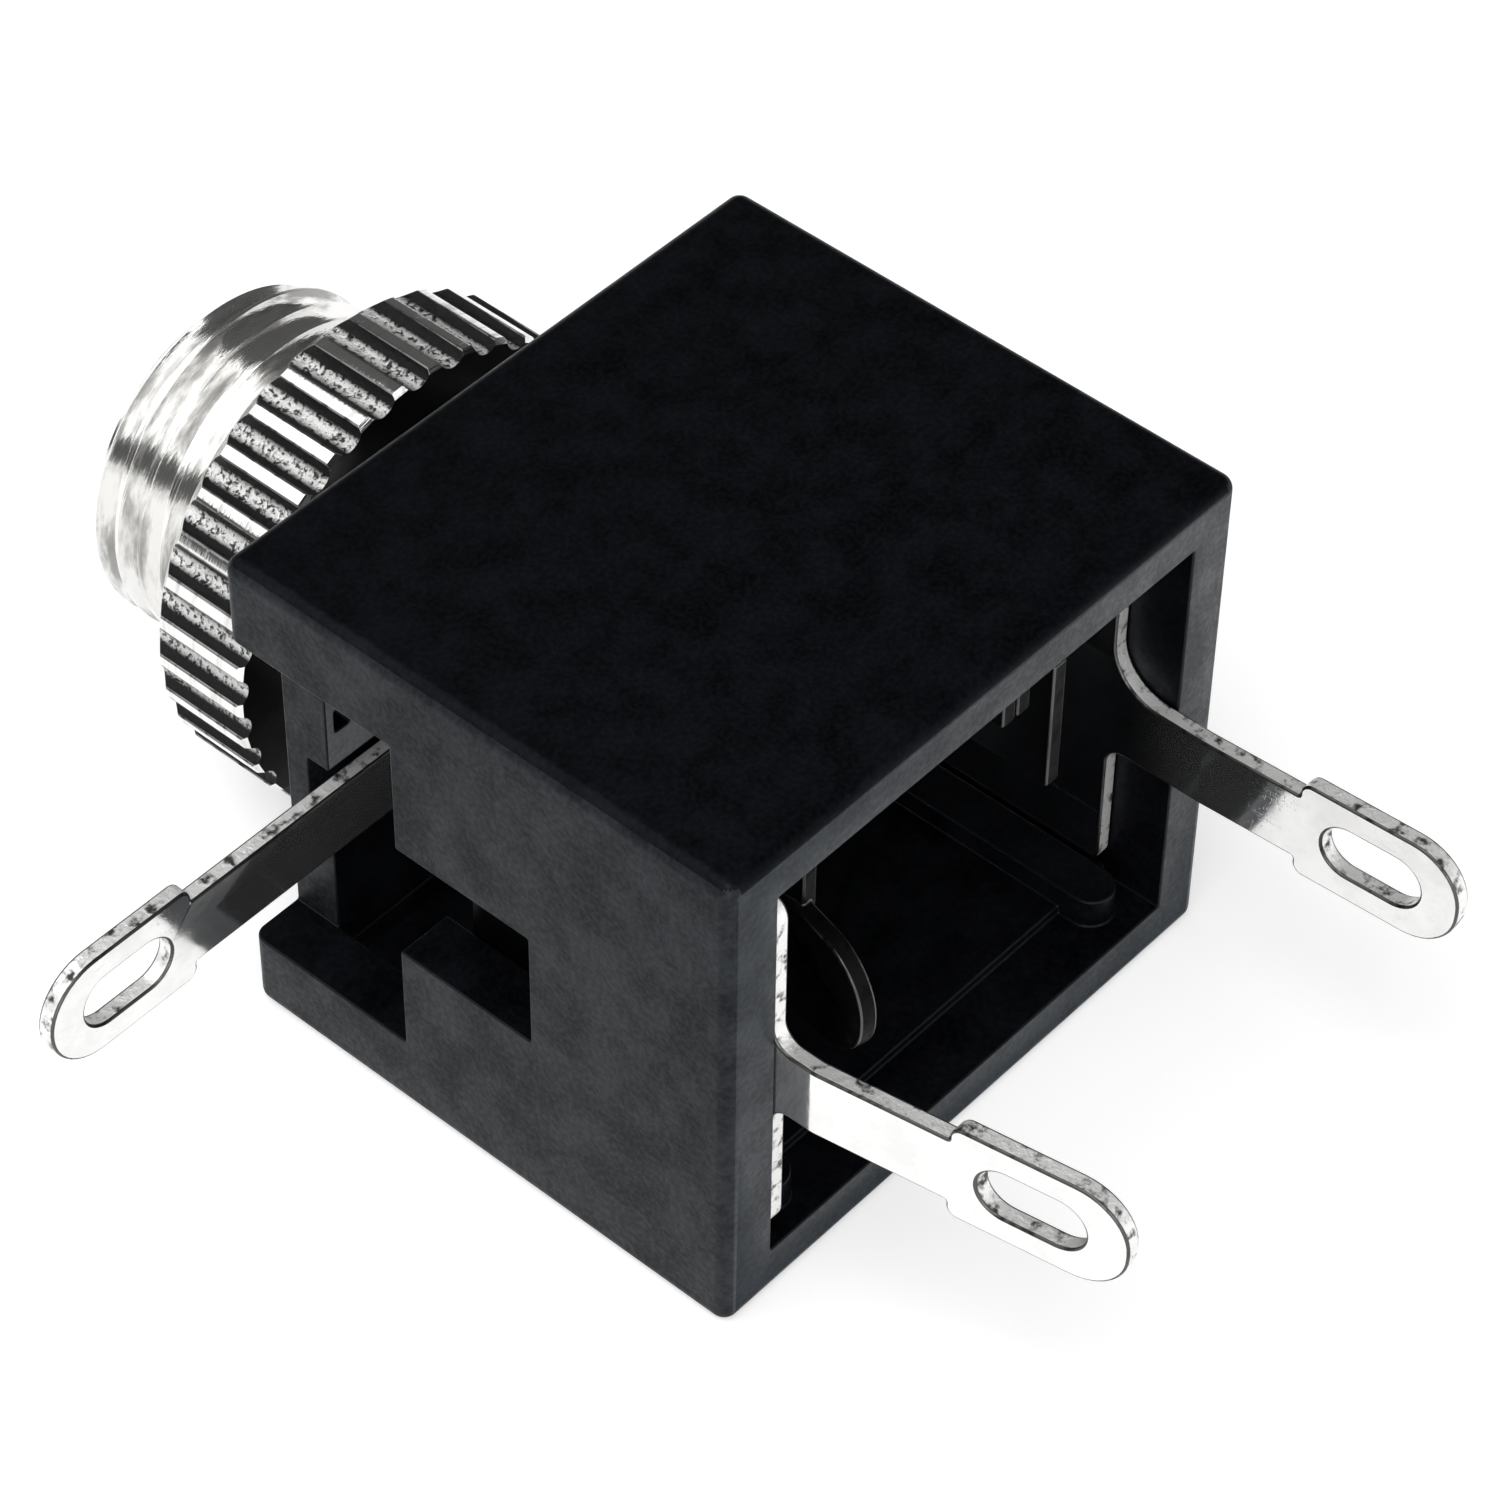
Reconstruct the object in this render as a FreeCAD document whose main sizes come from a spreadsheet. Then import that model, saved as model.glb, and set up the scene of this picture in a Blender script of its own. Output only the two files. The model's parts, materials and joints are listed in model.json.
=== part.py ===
"""Mono jack panel socket: moulded housing, threaded bush, fluted nut, three folded contacts.

Millimetres, +Z up. The origin is on the bush axis at the housing's front face, where a panel
seats. The bush points along -Y, the housing's open rear faces +Y, the housing stands on its
flat underside, and the side lug leaves towards +X.
"""
import FreeCAD, Part
import Sketcher
import math
import os
import re

SIZES = {
    # housing
    "housing_width": 11.2,
    "housing_length": 9.8,
    "housing_height": 9.5,
    "axis_height": 4.15,
    "side_wall": 1.0,
    "front_wall": 0.9,
    "floor_wall": 0.95,
    "roof_wall": 0.85,
    "edge_radius": 0.25,
    # opening in the left wall for the side lug, from the front face, the cavity and the axis
    "slot_length": 3.3,
    "slot_sill": 0.5,
    "slot_head": 0.75,
    "notch_end": 5.95,
    "notch_below": 0.65,
    "notch_above": 1.6,
    # groove behind the side lug's strip and small pit, in the front wall's rear face
    "groove_width": 1.5,
    "groove_depth": 0.45,
    "pit_setback": 0.2,
    "pit_width": 0.3,
    "pit_low": 1.46,
    "pit_high": 1.9,
    "pit_depth": 0.35,
    # guides inside the housing
    "step_height": 0.15,
    "step_setback": 1.1,
    "rib_width": 0.8,
    "rib_height": 0.55,
    "rib_clearance": 0.05,
    "rib_setback": 0.4,
    # bush
    "thread_diameter": 6.0,
    "bush_length": 6.2,
    "plug_bore": 3.6,
    "mouth_chamfer": 0.35,
    "nose_chamfer": 0.3,
    "shank_diameter": 5.0,
    "shank_clearance": 0.03,
    "lip_diameter": 5.7,
    "lip_height": 0.35,
    # nut
    "nut_wall": 1.1,
    "nut_thickness": 2.0,
    "nut_gap": 1.5,
    "nut_clearance": 0.05,
    "nut_chamfer": 0.25,
    "nut_back_chamfer": 0.08,
    "flute_count": 34,
    "flute_radius": 0.28,
    "flute_depth": 0.2,
    # sheet metal
    "sheet": 0.3,
    "ring_clearance": 0.1,
    "lug_width": 1.3,
    "eye_width": 1.9,
    "eye_length": 2.85,
    "hole_length": 1.75,
    "hole_width": 0.95,
    "hole_inset": 0.65,
    "eye_corner": 0.2,
    "lap": 0.2,
    "root_radius": 0.35,
    "root_radius_large": 0.9,
    "side_lug_reach": 5.0,
    "tip_lug_reach": 5.75,
    "tip_lug_height": 0.7,
    "tip_lug_lean": 9.2,
    "break_lug_reach": 5.3,
    "break_lug_height": 0.56,
    "break_lug_lean": 2.9,
    "lug_start": 0.7,
    "lug_bend_radius": 0.6,
    # contacts inside the housing
    "plate_floor_gap": 0.35,
    "plate_roof_gap": 0.3,
    "plate_front": 4.3,
    "plate_corner": 0.4,
    "tip_plate_setback": 0.05,
    "break_plate_setback": 1.05,
    "fold_front": 3.6,
    "fold_radius": 0.45,
    "leaf_width": 2.15,
    "leaf_flat": 0.05,
    "leaf_rise": 1.1,
    "leaf_apex_x": 1.4,
    "leaf_apex_y": 5.2,
    "leaf_apex_radius": 1.0,
    "leaf_end_inset": 2.15,
    "leaf_end_setback": 0.05,
    "arm_width": 1.1,
    "arm_y": 7.6,
    "arm_height": 2.4,
    "arm_lip": 1.3,
    "contact_gap": 0.02,
    "break_leaf_inset": 1.7,
    "break_leaf_setback": 1.0,
    "break_leaf_low": 0.25,
    "break_leaf_high": 2.8,
}

doc = FreeCAD.newDocument("mono_jack_socket")
sheet = doc.addObject("Spreadsheet::Sheet", "Sizes")
for row, (alias, value) in enumerate(SIZES.items(), start=1):
    sheet.set("A%d" % row, alias)
    sheet.set("B%d" % row, str(value))
    sheet.setAlias("B%d" % row, alias)
doc.recompute()


def bound(formula):
    """Write the sheet's name before each alias of a formula."""
    return re.sub(r"[a-z_]{3,}", lambda word: "Sizes." + word.group(0)
                  if word.group(0) in SIZES else word.group(0), formula)


def number(formula):
    """Value of a formula on the sheet."""
    return float(sheet.evalExpression(bound(formula)))


def new_body(label):
    """Body whose label names its file."""
    body = doc.addObject("PartDesign::Body", label)
    body.Label = label
    return body


def origin_item(body, role):
    """Plane or axis of a body's own origin."""
    for feature in body.Origin.OriginFeatures:
        if feature.Role == role:
            return feature
    raise ValueError(role)


def new_sketch(body, name, role, offset="0"):
    """Sketch on one of the body's origin planes, moved along the plane's normal."""
    sketch = body.newObject("Sketcher::SketchObject", name)
    sketch.AttachmentSupport = [(origin_item(body, role), "")]
    sketch.MapMode = "FlatFace"
    sketch.setExpression("AttachmentOffset.Base.z", bound(offset))
    return sketch


def pin_point(sketch, geometry, end, place):
    """Bind one point of a sketch to two formulas."""
    for kind, formula in zip(("DistanceX", "DistanceY"), place):
        if formula is not None:
            index = sketch.addConstraint(
                Sketcher.Constraint(kind, -1, 1, geometry, end, number(formula)))
            sketch.setExpression("Constraints[%d]" % index, bound(formula))


def vector(place):
    """Point of a sketch from two formulas."""
    return FreeCAD.Vector(number(place[0]), number(place[1]), 0)


def add_outline(sketch, corners):
    """Closed outline of straight sides between corners bound to formulas.

    A corner is (x, y), or (x, y, centre_x, centre_y) where the side that ends there is an
    anticlockwise arc about that centre.
    """
    first = sketch.GeometryCount
    for i, corner in enumerate(corners):
        start = vector(corners[i - 1])
        end = vector(corner)
        if len(corner) == 2:
            sketch.addGeometry(Part.LineSegment(start, end))
        else:
            centre = vector(corner[2:])
            low = math.atan2(start.y - centre.y, start.x - centre.x)
            high = math.atan2(end.y - centre.y, end.x - centre.x)
            if high < low:
                high += 2 * math.pi
            circle = Part.Circle(centre, FreeCAD.Vector(0, 0, 1), (end - centre).Length)
            sketch.addGeometry(Part.ArcOfCircle(circle, low, high))
    for i, corner in enumerate(corners):
        here = first + i
        after = first + (i + 1) % len(corners)
        sketch.addConstraint(Sketcher.Constraint("Coincident", here, 2, after, 1))
        pin_point(sketch, here, 2, corner[:2])
        if len(corner) == 4:
            across = number(corner[0]) == number(corners[i - 1][0])
            centre = (corner[2], None) if across else (None, corner[3])
            pin_point(sketch, here, 3, centre)


def add_rectangle(sketch, left, right, low, high):
    """Rectangle between four formulas."""
    add_outline(sketch, [(left, low), (right, low), (right, high), (left, high)])


def add_circle(sketch, centre, radius):
    """Circle bound to formulas for its centre and radius."""
    circle = Part.Circle(vector(centre), FreeCAD.Vector(0, 0, 1), number(radius))
    geometry = sketch.addGeometry(circle)
    pin_point(sketch, geometry, 3, centre)
    index = sketch.addConstraint(Sketcher.Constraint("Radius", geometry, number(radius)))
    sketch.setExpression("Constraints[%d]" % index, bound(radius))


def add_path(sketch, corners, radii):
    """Open path of straight runs joined by tangent arcs at its inner corners."""
    points = [vector(corner) for corner in corners]
    trims = [0.0]
    for i in range(1, len(points) - 1):
        before = points[i - 1] - points[i]
        after = points[i + 1] - points[i]
        trims.append(number(radii[i - 1]) / math.tan(before.getAngle(after) / 2))
    trims.append(0.0)
    lines = []
    for i in range(len(points) - 1):
        along = (points[i + 1] - points[i]).normalize()
        lines.append(sketch.addGeometry(Part.LineSegment(
            points[i] + along * trims[i], points[i + 1] - along * trims[i + 1])))
    pin_point(sketch, lines[0], 1, corners[0])
    pin_point(sketch, lines[-1], 2, corners[-1])
    for i in range(1, len(points) - 1):
        back = (points[i - 1] - points[i]).normalize()
        ahead = (points[i + 1] - points[i]).normalize()
        start = points[i] + back * trims[i]
        end = points[i] + ahead * trims[i]
        inward = (back + ahead).normalize()
        reach = math.hypot(trims[i], number(radii[i - 1]))
        middle = points[i] + inward * (reach - number(radii[i - 1]))
        arc = sketch.addGeometry(Part.Arc(start, middle, end))
        left_turn = back.cross(ahead).z < 0
        ends = (1, 2) if left_turn else (2, 1)
        sketch.addConstraint(Sketcher.Constraint("Tangent", lines[i - 1], 2, arc, ends[0]))
        sketch.addConstraint(Sketcher.Constraint("Tangent", arc, ends[1], lines[i], 1))
        index = sketch.addConstraint(Sketcher.Constraint("Radius", arc, number(radii[i - 1])))
        sketch.setExpression("Constraints[%d]" % index, bound(radii[i - 1]))
        corner = sketch.addGeometry(Part.Point(points[i]), True)
        pin_point(sketch, corner, 1, corners[i])
        sketch.addConstraint(Sketcher.Constraint("PointOnObject", corner, 1, lines[i - 1]))
        sketch.addConstraint(Sketcher.Constraint("PointOnObject", corner, 1, lines[i]))


def grow(body, kind, name, sketch, length, backwards=False):
    """Pad or pocket of a sketch over a bound length; returns the feature."""
    before = body.Shape.Volume if body.Tip else 0.0
    feature = body.newObject("PartDesign::" + kind, name)
    feature.Profile = sketch
    feature.setExpression("Length", bound(length))
    feature.Reversed = backwards
    sketch.Visibility = False
    doc.recompute()
    change = feature.Shape.Volume - before
    if (kind == "Pad") != (change > 0):
        raise RuntimeError("%s changes the volume by %.4f" % (name, change))
    return feature


def sweep(body, name, profile, path):
    """Sheet of the profile's section along a path."""
    pipe = body.newObject("PartDesign::AdditivePipe", name)
    pipe.Profile = profile
    pipe.Spine = (path, [])
    profile.Visibility = False
    path.Visibility = False
    doc.recompute()
    return pipe


def edges_where(feature, test):
    """Names of a feature's edges whose middle point and direction pass a test."""
    names = []
    for i, edge in enumerate(feature.Shape.Edges, start=1):
        ends = edge.ParameterRange
        middle = edge.valueAt((ends[0] + ends[1]) / 2)
        if test(edge, middle):
            names.append("Edge%d" % i)
    if not names:
        raise RuntimeError("no edge of %s passes" % feature.Name)
    return names


def dress(body, kind, name, base, names, size):
    """Fillet or chamfer of named edges, bound to a size."""
    feature = body.newObject("PartDesign::" + kind, name)
    feature.Base = (base, names)
    feature.setExpression("Radius" if kind == "Fillet" else "Size", bound(size))
    doc.recompute()
    return feature


LOOSE = 1e-3


def runs_across(edge):
    """Whether an edge is straight and runs along X."""
    if edge.Curve.TypeId != "Part::GeomLine":
        return False
    return abs(edge.Curve.Direction.x) > 1 - LOOSE


def near(value, formula):
    """Whether a coordinate is at a formula's value."""
    return abs(value - number(formula)) < LOOSE


# Housing: one moulding, open at the rear, with an opening in the left wall for the side lug

HALF = "housing_width / 2"
INNER = "housing_width / 2 - side_wall"
UNDERSIDE = "-axis_height"
TOP = "housing_height - axis_height"
FLOOR = "floor_wall - axis_height"
ROOF = "housing_height - axis_height - roof_wall"

housing = new_body("housing")
outline = new_sketch(housing, "housing_outline", "XZ_Plane")
add_rectangle(outline, "-" + HALF, HALF, UNDERSIDE, TOP)
block = grow(housing, "Pad", "housing_block", outline, "housing_length", backwards=True)
dress(housing, "Fillet", "housing_edges", block,
      ["Edge%d" % (i + 1) for i in range(len(block.Shape.Edges))], "edge_radius")

mouth = new_sketch(housing, "cavity_outline", "XZ_Plane", "-front_wall")
add_rectangle(mouth, "-(%s)" % INNER, INNER, FLOOR, ROOF)
grow(housing, "Pocket", "cavity", mouth, "housing_length")

bush_seat = new_sketch(housing, "bush_hole_outline", "XZ_Plane")
add_circle(bush_seat, ("0", "0"), "shank_diameter / 2 + shank_clearance")
grow(housing, "Pocket", "bush_hole", bush_seat, "front_wall")

SILL = FLOOR + " + slot_sill"
HEAD = ROOF + " - slot_head"
side = new_sketch(housing, "side_opening_outline", "YZ_Plane", HALF)
add_outline(side, [
    ("-edge_radius", SILL), ("slot_length", SILL),
    ("slot_length", "-notch_below"), ("notch_end", "-notch_below"),
    ("notch_end", "notch_above"), ("slot_length", "notch_above"),
    ("slot_length", HEAD), ("-edge_radius", HEAD)])
grow(housing, "Pocket", "side_opening", side, "side_wall")

groove = new_sketch(housing, "strip_groove_outline", "XZ_Plane", "-front_wall")
add_rectangle(groove, "shank_diameter / 2", HALF, "-groove_width / 2", "groove_width / 2")
grow(housing, "Pocket", "strip_groove", groove, "groove_depth", backwards=True)

pit = new_sketch(housing, "pit_outline", "XZ_Plane", "-front_wall")
PIT_EDGE = INNER + " - pit_setback"
add_outline(pit, [(PIT_EDGE + " - pit_width", "pit_low"), (PIT_EDGE, "pit_low"),
                  (PIT_EDGE, "pit_high")])
grow(housing, "Pocket", "pit", pit, "pit_depth", backwards=True)

land = new_sketch(housing, "floor_land_outline", "XY_Plane", FLOOR)
add_rectangle(land, "-(%s)" % INNER, INNER, "front_wall + sheet + ring_clearance",
              "housing_length - step_setback")
grow(housing, "Pad", "floor_land", land, "step_height")

RIB_OUTER = "housing_width / 2 - side_wall - sheet - rib_clearance"
RIB_INNER = "housing_width / 2 - side_wall - sheet - rib_clearance - rib_width"
RIB_END = "housing_length - rib_setback - rib_width / 2"


def add_rib_outline(sketch, mirror):
    """Plan of one guide rib beside a contact plate, round at its rear end."""
    outer = "%s(%s)" % (mirror, RIB_OUTER)
    inner = "%s(%s)" % (mirror, RIB_INNER)
    middle = "%s(%s - rib_width / 2)" % (mirror, RIB_OUTER)
    right, left = (inner, outer) if mirror == "-" else (outer, inner)
    add_outline(sketch, [
        (left, "plate_front"), (right, "plate_front"), (right, RIB_END),
        (left, RIB_END, middle, RIB_END)])


for level, direction in ((FLOOR, False), (ROOF, True)):
    word = "roof" if direction else "floor"
    ribs = new_sketch(housing, word + "_ribs_outline", "XY_Plane", level)
    add_rib_outline(ribs, "")
    add_rib_outline(ribs, "-")
    grow(housing, "Pad", word + "_ribs", ribs, "rib_height", backwards=direction)

# Bush: turned brass, threaded nose, shank through the front wall, rim rolled over the ring

bush = new_body("threaded_bush")
section = new_sketch(bush, "bush_section", "XY_Plane")
BORE = "plug_bore / 2"
THREAD = "thread_diameter / 2"
SHANK = "shank_diameter / 2"
RING_BACK = "front_wall + sheet"
add_outline(section, [
    (BORE + " + mouth_chamfer", "-bush_length"),
    (THREAD + " - nose_chamfer", "-bush_length"),
    (THREAD, "-bush_length + nose_chamfer"),
    (THREAD, "0"),
    (SHANK, "0"),
    (SHANK, RING_BACK),
    ("lip_diameter / 2", RING_BACK),
    ("lip_diameter / 2", RING_BACK + " + lip_height / 2"),
    ("lip_diameter / 2 - lip_height / 2", RING_BACK + " + lip_height"),
    (BORE, RING_BACK + " + lip_height"),
    (BORE, "-bush_length + mouth_chamfer")])
turned = bush.newObject("PartDesign::Revolution", "bush_turned")
turned.Profile = section
turned.ReferenceAxis = (section, ["V_Axis"])
turned.Angle = 360
section.Visibility = False
doc.recompute()

# Nut: round, with straight flutes all round its rim, its nose chamfered more than its back

nut = new_body("fluted_nut")
NUT_HOLE = "thread_diameter / 2 + nut_clearance"
NUT_RIM = NUT_HOLE + " + nut_wall"
rim = new_sketch(nut, "nut_rim", "XZ_Plane", "nut_gap")
add_circle(rim, ("0", "0"), NUT_RIM)
add_circle(rim, ("0", "0"), NUT_HOLE)
blank = grow(nut, "Pad", "nut_blank", rim, "nut_thickness")
for name, end, size in (("nut_nose", "-nut_gap - nut_thickness", "nut_chamfer"),
                        ("nut_back", "-nut_gap", "nut_back_chamfer")):
    rims = edges_where(blank, lambda edge, middle: edge.Curve.TypeId == "Part::GeomCircle"
                       and near(edge.Curve.Radius, NUT_RIM) and near(middle.y, end))
    blank = dress(nut, "Chamfer", name, blank, rims, size)
flute_plan = new_sketch(nut, "flute_plan", "XZ_Plane", "nut_gap - nut_chamfer")
add_circle(flute_plan, ("0", NUT_RIM + " - flute_depth + flute_radius"), "flute_radius")
flute = grow(nut, "Pocket", "flute", flute_plan, "nut_thickness + 2 * nut_chamfer", True)
flutes = nut.newObject("PartDesign::PolarPattern", "flutes")
flutes.Originals = [flute]
flutes.Axis = (origin_item(nut, "Y_Axis"), [""])
flutes.Angle = 360
flutes.setExpression("Occurrences", bound("flute_count"))
nut.Tip = flutes
doc.recompute()


def lug_outline(start, reach, height):
    """Corners of a solder lug seen flat: strip and round-ended eye.

    The strip starts at one value of the sketch's first axis and the tip reaches another.
    """
    strip = "lug_width / 2"
    eye = "eye_width / 2"
    neck = "%s - eye_length" % reach
    round_start = "%s - eye_width / 2" % reach
    low, high = "%s - " % height, "%s + " % height
    return [
        (start, low + strip), (neck, low + strip), (neck, low + eye), (round_start, low + eye),
        (round_start, high + eye, round_start, height),
        (neck, high + eye), (neck, high + strip), (start, high + strip)]


def hole_outline(reach, height):
    """Corners of the long hole in a lug's eye."""
    far = "%s - hole_inset - hole_width / 2" % reach
    close = "%s - hole_inset - hole_length + hole_width / 2" % reach
    low = "%s - hole_width / 2" % height
    high = "%s + hole_width / 2" % height
    return [(close, low, close, height), (far, low), (far, high, far, height), (close, high)]


# Sleeve terminal: flat ring behind the front wall, with a lug out of the side opening

sleeve = new_body("sleeve_terminal")
SIDE_REACH = "housing_width / 2 + side_lug_reach"
RING = "axis_height - floor_wall - ring_clearance"
ring = new_sketch(sleeve, "ring_outline", "XZ_Plane", "-front_wall")
add_circle(ring, ("0", "0"), RING)
add_circle(ring, ("0", "0"), "shank_diameter / 2 + shank_clearance")
grow(sleeve, "Pad", "ring", ring, "sheet", backwards=True)
side_lug = new_sketch(sleeve, "side_lug_outline", "XZ_Plane", "-front_wall")
add_outline(side_lug, lug_outline(RING + " - lap", SIDE_REACH, "0"))
flat_lug = grow(sleeve, "Pad", "side_lug", side_lug, "sheet", backwards=True)
side_corners = edges_where(flat_lug, lambda edge, middle: near(edge.Length, "sheet")
                           and near(middle.x, SIDE_REACH + " - eye_length")
                           and near(abs(middle.z), "eye_width / 2"))
dress(sleeve, "Fillet", "side_eye_corners", flat_lug, side_corners, "eye_corner")
side_hole = new_sketch(sleeve, "side_hole_outline", "XZ_Plane", "-front_wall")
add_outline(side_hole, hole_outline(SIDE_REACH, "0"))
grow(sleeve, "Pocket", "side_hole", side_hole, "sheet")


def edges_across_end(feature, reach, height, half):
    """Short edges through the sheet at the corners of a strip's end."""
    return edges_where(feature, lambda edge, middle: abs(edge.Length - number("sheet")) < LOOSE
                       and middle.y > number(reach) - number("sheet")
                       and near(abs(middle.z - number(height)), half))


def add_plate(body, side, face, setback):
    """Flat plate of a contact against a side wall, with rounded corners."""
    edge = new_sketch(body, side + "_plate_outline", "YZ_Plane", face)
    rear = "housing_length - %s" % setback
    low, high = FLOOR + " + plate_floor_gap", ROOF + " - plate_roof_gap"
    add_rectangle(edge, "plate_front", rear, low, high)
    plate = grow(body, "Pad", side + "_plate", edge, "sheet")
    corners = edges_where(plate, lambda edge, middle: runs_across(edge)
                          and (near(middle.z, low) or near(middle.z, high)))
    return dress(body, "Fillet", side + "_plate_corners", plate, corners, "plate_corner")


def add_rear_lug(body, side, plate_x, rear, upper_root):
    """Solder lug off a plate's rear edge, bent towards -X, with a long hole in its eye."""
    reach = "housing_length + %s_lug_reach" % side
    height = side + "_lug_height"
    neck = reach + " - eye_length"
    start = "housing_length + lug_start"
    drift = "(%s_lug_reach - lug_start) * tan(%s_lug_lean)" % (side, side)
    path = new_sketch(body, side + "_lug_path", "XY_Plane")
    add_path(path, [(plate_x, rear + " - lap"), (plate_x, start),
                    ("%s - %s" % (plate_x, drift), reach)], ["lug_bend_radius"])
    profile = new_sketch(body, side + "_lug_section", "XZ_Plane", "-(%s - lap)" % rear)
    add_rectangle(profile, plate_x + " - sheet / 2", plate_x + " + sheet / 2",
                  height + " - eye_width / 2", height + " + eye_width / 2")
    lug = sweep(body, side + "_lug", profile, path)
    tips = edges_across_end(lug, reach, height, "eye_width / 2")
    rounded = dress(body, "Fillet", side + "_eye_end", lug, tips, "eye_width / 2 - leaf_flat")
    trim = new_sketch(body, side + "_lug_trim", "YZ_Plane", plate_x + " + sheet")
    add_rectangle(trim, rear, neck, height + " - eye_width", height + " - lug_width / 2")
    add_rectangle(trim, rear, neck, height + " + lug_width / 2", height + " + eye_width")
    depth = "2 * sheet + " + drift
    trimmed = grow(body, "Pocket", side + "_lug_sides", trim, depth)
    corners = edges_where(trimmed, lambda edge, middle: near(middle.y, neck)
                          and near(abs(middle.z - number(height)), "eye_width / 2"))
    eased = dress(body, "Fillet", side + "_eye_corners", trimmed, corners, "eye_corner")
    for name, sign, radius in (("_root_upper", "+", upper_root), ("_root_lower", "-", "root_radius")):
        edge_height = "%s %s lug_width / 2" % (height, sign)
        roots = edges_where(eased, lambda edge, middle: runs_across(edge)
                            and near(middle.y, rear) and near(middle.z, edge_height))
        eased = dress(body, "Fillet", side + name, eased, roots, radius)
    hole = new_sketch(body, side + "_hole_outline", "YZ_Plane", plate_x + " + sheet")
    add_outline(hole, hole_outline(reach, height))
    grow(body, "Pocket", side + "_hole", hole, depth)


# Tip contact: plate on the left wall, folded at the front into a leaf that bows to the axis

tip = new_body("tip_contact")
PLATE_X = INNER + " - sheet / 2"
TIP_REAR = "housing_length - tip_plate_setback"
LEAF_END = "housing_length - leaf_end_setback"
LEAF_END_X = INNER + " - leaf_end_inset"
add_plate(tip, "tip", INNER + " - sheet", "tip_plate_setback")
leaf_path = new_sketch(tip, "leaf_path", "XY_Plane")
add_path(leaf_path, [
    (PLATE_X, "plate_front + plate_corner + lap"), (PLATE_X, "fold_front"),
    (PLATE_X + " - leaf_rise", "fold_front"), ("leaf_apex_x", "leaf_apex_y"),
    (LEAF_END_X, LEAF_END)], ["fold_radius", "fold_radius", "leaf_apex_radius"])
leaf_section = new_sketch(tip, "leaf_section", "XZ_Plane",
                          "-(plate_front + plate_corner + lap)")
add_rectangle(leaf_section, PLATE_X + " - sheet / 2", PLATE_X + " + sheet / 2",
              "-leaf_width / 2", "leaf_width / 2")
leaf = sweep(tip, "leaf", leaf_section, leaf_path)
leaf_corners = edges_across_end(leaf, LEAF_END, "0", "leaf_width / 2")
dress(tip, "Fillet", "leaf_end", leaf, leaf_corners, "leaf_width / 2 - leaf_flat")

ARM_X = ("leaf_apex_x + (arm_y - leaf_apex_y) * (%s - leaf_apex_x)"
         " / (%s - leaf_apex_y)" % (LEAF_END_X, LEAF_END))
BREAK_LEAF_X = "-(%s - break_leaf_inset)" % INNER
LIP_X = BREAK_LEAF_X + " + sheet + contact_gap"
arm_path = new_sketch(tip, "arm_path", "XZ_Plane", "-arm_y")
add_path(arm_path, [(ARM_X, "leaf_width / 2 - lap"), (ARM_X, "arm_height"),
                    (LIP_X, "arm_height"), (LIP_X, "arm_lip")], ["fold_radius", "fold_radius"])
arm_section = new_sketch(tip, "arm_section", "XY_Plane", "leaf_width / 2 - lap")
add_rectangle(arm_section, ARM_X + " - sheet / 2", ARM_X + " + sheet / 2",
              "arm_y - arm_width / 2", "arm_y + arm_width / 2")
sweep(tip, "arm", arm_section, arm_path)

add_rear_lug(tip, "tip", PLATE_X, TIP_REAR, "root_radius")

# Break contact: plate on the right wall, folded at the front into the leaf the arm rests on

switch = new_body("break_contact")
BREAK_REAR = "housing_length - break_plate_setback"
add_plate(switch, "break", "-(%s)" % INNER, "break_plate_setback")
rest_path = new_sketch(switch, "break_leaf_path", "XY_Plane")
add_path(rest_path, [
    ("-(%s)" % PLATE_X, "plate_front + plate_corner + lap"),
    ("-(%s)" % PLATE_X, "fold_front"), (BREAK_LEAF_X, "fold_front"),
    (BREAK_LEAF_X, "housing_length - break_leaf_setback")], ["fold_radius", "fold_radius"])
rest_section = new_sketch(switch, "break_leaf_section", "XZ_Plane",
                          "-(plate_front + plate_corner + lap)")
add_rectangle(rest_section, "-(%s + sheet / 2)" % PLATE_X, "-(%s - sheet / 2)" % PLATE_X,
              "break_leaf_low", "break_leaf_high")
sweep(switch, "break_leaf", rest_section, rest_path)
add_rear_lug(switch, "break", "-(%s)" % PLATE_X, BREAK_REAR, "root_radius_large")

doc.recompute()
PIECES = (housing, bush, nut, sleeve, tip, switch)
for item in doc.Objects:
    if "Invalid" in item.State or "Error" in item.State:
        raise RuntimeError("%s failed" % item.Name)
for piece in PIECES:
    if piece.Shape.isNull() or not piece.Shape.isValid() or len(piece.Shape.Solids) != 1:
        raise RuntimeError("%s isn't one valid solid" % piece.Label)

os.makedirs("parts", exist_ok=True)
for piece in PIECES:
    piece.Shape.exportStep("parts/%s.step" % piece.Label)
    print("%-16s %8.3f mm3" % (piece.Label, piece.Shape.Volume))
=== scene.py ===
"""Looks of a mono jack panel socket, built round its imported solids.

A black moulded housing, a nickel-plated bush with its thread cut, a fluted ring nut and three
silvered sheet contacts stand on a pale studio floor. Lengths are in metres in the solids' own
frame: the bush points along -Y, +Z is up, and the origin is at the housing's front face.
"""

import json
import logging
import math
from dataclasses import dataclass, field
from enum import Enum, IntEnum
from typing import Union

import bmesh
import bpy
from bmesh.types import BMEdge, BMesh, BMFace, BMVert
from bpy.types import Material, Node, NodeSocket, NodeTree, Object
from mathutils import Matrix, Vector
from mathutils.bvhtree import BVHTree

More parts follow.
